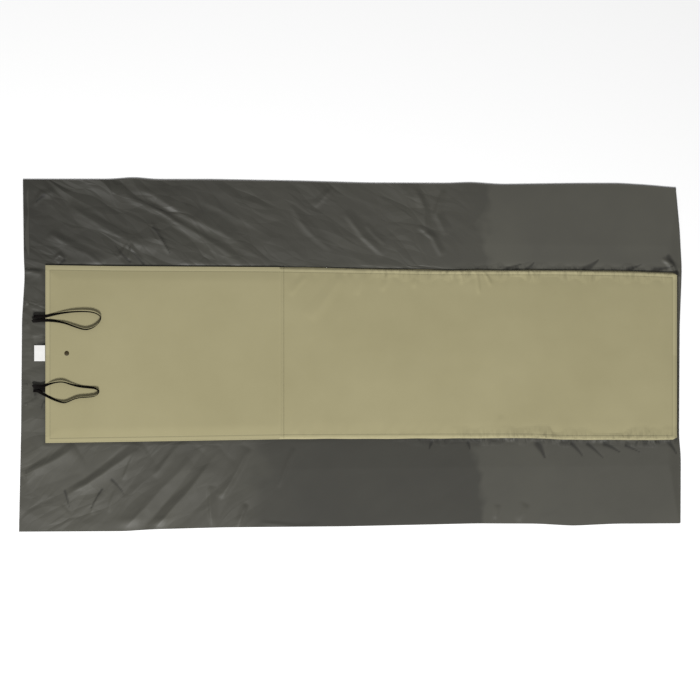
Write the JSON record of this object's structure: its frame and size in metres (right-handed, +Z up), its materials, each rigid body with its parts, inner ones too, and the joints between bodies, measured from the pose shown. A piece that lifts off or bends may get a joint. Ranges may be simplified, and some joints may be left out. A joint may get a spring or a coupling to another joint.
{
  "type": "bivy sack",
  "caption": "Waterproof bivy sack laid flat on its cover: tapered sleeping sack with a mat sleeve sewn on its underside, a press-stud flap, elastic roll-up loops and a care label",
  "frame": {"origin": "On the floor, below the middle of the sack's outline as it lies flat on its cover", "axes": "+X runs along the sack from the head (mouth) to the foot, +Y across it, +Z up out of the floor; the underside with the mat sleeve faces +Z"},
  "size_m": [2.19, 1.17, 0.028],
  "materials": {
    "sack_cloth": "satin",
    "sleeve_cloth": "matte",
    "stud_enamel": "satin",
    "stud_brass": "satin",
    "elastic": "matte",
    "label_cloth": "matte"
  },
  "bodies": {
    "sack": {"cover_panel": "sack_cloth", "underside_panel": "sack_cloth", "left_side_seam": "sack_cloth", "right_side_seam": "sack_cloth", "foot_seam": "sack_cloth", "cover_mouth_hem": "sack_cloth", "underside_mouth_hem": "sack_cloth", "sleeve_panel": "sleeve_cloth", "sleeve_left_seam": "sleeve_cloth", "sleeve_right_seam": "sleeve_cloth", "sleeve_foot_seam": "sleeve_cloth", "sleeve_mouth_hem": "sleeve_cloth", "cross_seam": "sleeve_cloth", "snap_stud": "stud_brass", "snap_post": "stud_brass"},
    "flap": {"sleeve_flap": "sleeve_cloth", "flap_head_hem": "sleeve_cloth", "flap_left_hem": "sleeve_cloth", "flap_right_hem": "sleeve_cloth", "snap_cap": "stud_enamel", "snap_socket": "stud_brass", "left_loop_root": "elastic", "right_loop_root": "elastic", "left_loop_fold": "elastic", "right_loop_fold": "elastic"},
    "left_loop": {"left_loop_band": "elastic"},
    "right_loop": {"right_loop_band": "elastic"},
    "care_label": {"care_label": "label_cloth"}
  },
  "joints": [
    {"name": "flap_hinge", "type": "hinge", "parent": "sack", "child": "flap", "pos_m": [-0.2345, 0, 0.0185], "axis": [0, 1, 0], "range_deg": [0, 170]},
    {"name": "left_loop_swing", "type": "hinge", "parent": "flap", "child": "left_loop", "pos_m": [-1.055, 0.124, 0.0165], "axis": [0, -1, 0], "range_deg": [0, 160], "deforming": ["left_loop_fold"]},
    {"name": "right_loop_swing", "type": "hinge", "parent": "flap", "child": "right_loop", "pos_m": [-1.055, -0.11, 0.0165], "axis": [0, -1, 0], "range_deg": [0, 160], "deforming": ["right_loop_fold"]},
    {"name": "label_swing", "type": "hinge", "parent": "flap", "child": "care_label", "pos_m": [-1.018, 0.008, 0.0158], "axis": [0, 1, 0], "range_deg": [0, 150]}
  ]
}
